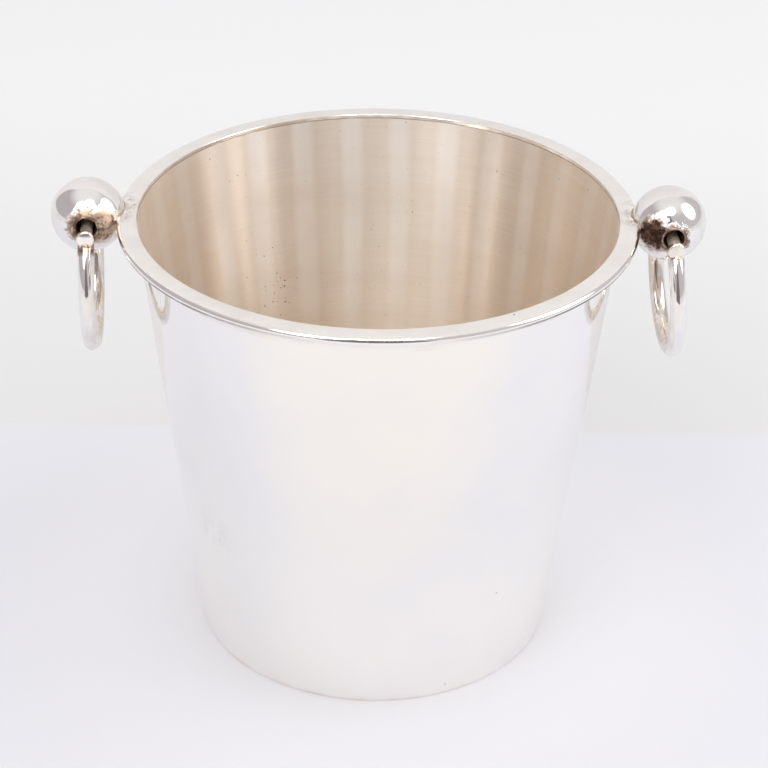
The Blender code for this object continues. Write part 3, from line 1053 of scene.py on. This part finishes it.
def room():
    """An even pale dome for matt things; metal reflects a dimmer room with a paler ceiling."""
    world = bpy.data.worlds.new("room")
    world.use_nodes = True
    tree = world.node_tree
    shade = tree.nodes["Background"]
    ways = tree.nodes.new("ShaderNodeTexCoord")
    axes = tree.nodes.new("ShaderNodeSeparateXYZ")
    tree.links.new(ways.outputs["Generated"], axes.inputs[0])

    def blend(factor, a, b):
        """Colour a where the factor is 0, b where it is 1."""
        made = tree.nodes.new("ShaderNodeMix")
        made.data_type = "RGBA"
        for socket, value in ((made.inputs["Factor"], factor), (made.inputs[6], a),
                              (made.inputs[7], b)):
            if isinstance(value, bpy.types.NodeSocket):
                tree.links.new(value, socket)
            else:
                socket.default_value = (*value, 1.0)
        return made.outputs[2]

    rightness = smooth_step(tree, axes.outputs[0], -0.7, 0.9, 0.0, 1.0)
    upness = smooth_step(tree, axes.outputs[2], 0.62, 0.97, 0.0, 1.0)
    seen_in_metal = blend(upness, blend(rightness, WALLS_LEFT, WALLS_RIGHT), CEILING)
    in_metal = tree.nodes.new("ShaderNodeLightPath").outputs["Is Glossy Ray"]
    tree.links.new(blend(in_metal, DOME, seen_in_metal), shade.inputs["Color"])
    bpy.context.scene.world = world


def matt(g, colour):
    """Finish a material as matt paper or cloth."""
    g.shader.inputs["Roughness"].default_value = 0.9
    g.shader.inputs["Specular IOR Level"].default_value = 0.1
    g.put(g.shader.inputs["Base Color"], colour)
    return g.material


def table_paper():
    """Cool paper under the bucket, painted lighter close round its foot and painted lighter and
    warmer in front of it; past the table's edge, paper behind it too, with painted shade at the
    backdrop's foot.
    """
    g = Graph("table_paper")
    _, y, _ = g.split()
    mottle = g.fade(g.noise(g.point, 5.0, 3.0), 0.3, 0.7)
    colour = g.mix(mottle, TABLE_COOL, TABLE_MOTTLE)
    # painted light: the paper is painted lighter and warmer in front of the bucket
    colour = g.mix(g.fade(y, -0.10, -0.24), colour, TABLE_FRONT_PAINTED_LIGHT)
    # painted light: the paper is painted lighter close round the bucket's foot
    colour = g.mix(g.fade(g.distance((0, 0, 0)), 0.20, 0.10), colour, TABLE_PAINTED_LIGHT_AT_FOOT)
    beyond = g.fade(y, TABLE_DEPTH - 0.004, TABLE_DEPTH + 0.004)
    # painted shade: the backdrop is painted darker at its foot and lighter further back
    backdrop = g.mix(g.fade(y, 0.18, 0.62), BACKDROP_FOOT_PAINTED_SHADE, BACKDROP)
    return matt(g, g.mix(beyond, colour, backdrop))


def board_paper():
    """White board, faintly mottled."""
    g = Graph("board_paper")
    mottle = g.fade(g.noise(g.point, 5.0, 3.0), 0.3, 0.7)
    return matt(g, g.mix(mottle, BOARD_WHITE, BOARD_MOTTLE))


def dark_cloth():
    """Dark woven cloth of the screen."""
    g = Graph("dark_cloth")
    weave = g.fade(g.noise(g.point, 40.0, 3.0), 0.3, 0.7)
    return matt(g, g.mix(weave, CLOTH_LIGHT, CLOTH_DARK))


def flat_sheet(name, corners, finish):
    """A four-cornered sheet of the studio, not part of the object."""
    mesh = bpy.data.meshes.new(name)
    mesh.from_pydata(corners, [], [(0, 1, 2, 3)])
    mesh.materials.append(finish)
    sheet = bpy.data.objects.new(name, mesh)
    bpy.context.scene.collection.objects.link(sheet)
    sheet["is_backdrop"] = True
    return sheet


def studio():
    """Pale floor, a white board behind, a dark screen past the camera and three softboxes.

    Only reflections see the board and the screen.
    """
    r = FLOOR_REACH
    flat_sheet("floor", [(-r, -r, 0), (r, -r, 0), (r, r, 0), (-r, r, 0)], table_paper())
    above_floor = 0.001
    depth = TABLE_DEPTH + 0.01
    board = flat_sheet("board", [
        (BOARD_LEFT, depth, above_floor), (BOARD_RIGHT, depth, above_floor),
        (BOARD_RIGHT, depth, BOARD_HEIGHT), (BOARD_LEFT, depth, BOARD_HEIGHT)], board_paper())
    screen = flat_sheet("dark_screen", [
        (-SCREEN_FOOT, SCREEN_Y, above_floor), (SCREEN_FOOT, SCREEN_Y, above_floor),
        (SCREEN_HEAD, SCREEN_Y, SCREEN_HEIGHT), (-SCREEN_HEAD, SCREEN_Y, SCREEN_HEIGHT)],
        dark_cloth())
    for sheet in (board, screen):
        sheet.visible_camera = False
        sheet.visible_diffuse = False
        sheet.visible_shadow = False
    softbox("front_left_softbox", direction=(-0.40, -0.66, 0.72), distance=1.2,
            size=(0.64, 0.80), on_paper=1.3, on_metal=14.5)
    softbox("right_softbox", direction=(0.86, -0.08, 0.56), distance=1.1,
            size=(0.76, 0.94), on_paper=0.8, on_metal=11.0)
    softbox("top_softbox", direction=(0.08, -0.50, 0.86), distance=1.3,
            size=(0.70, 0.56), on_paper=0.0, on_metal=25.0)


# ---------------------------------------------------------------- all of it
def main():
    """Studio, then the bucket, then its two handles."""
    bpy.context.scene.view_settings.view_transform = "Standard"
    camera()
    room()
    studio()
    sides = [Side("left"), Side("right")]
    polished = polished_silver()
    brushed = brushed_silver()
    bucket_wall(polished, brushed)
    bucket_floor(brushed)
    foot_ring(polished)
    rim(rim_silver([s.centre for s in sides]))
    brass = worn_brass()
    sleeves = sleeve_metal()
    caps = cap_silver()
    for s in sides:
        handle(s, brass, sleeves, caps)


main()
bpy.context.view_layer.update()
boxes = {"cad": cad_box, "visual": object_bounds()}
{name: [list(corner) for corner in box] for name, box in boxes.items()}
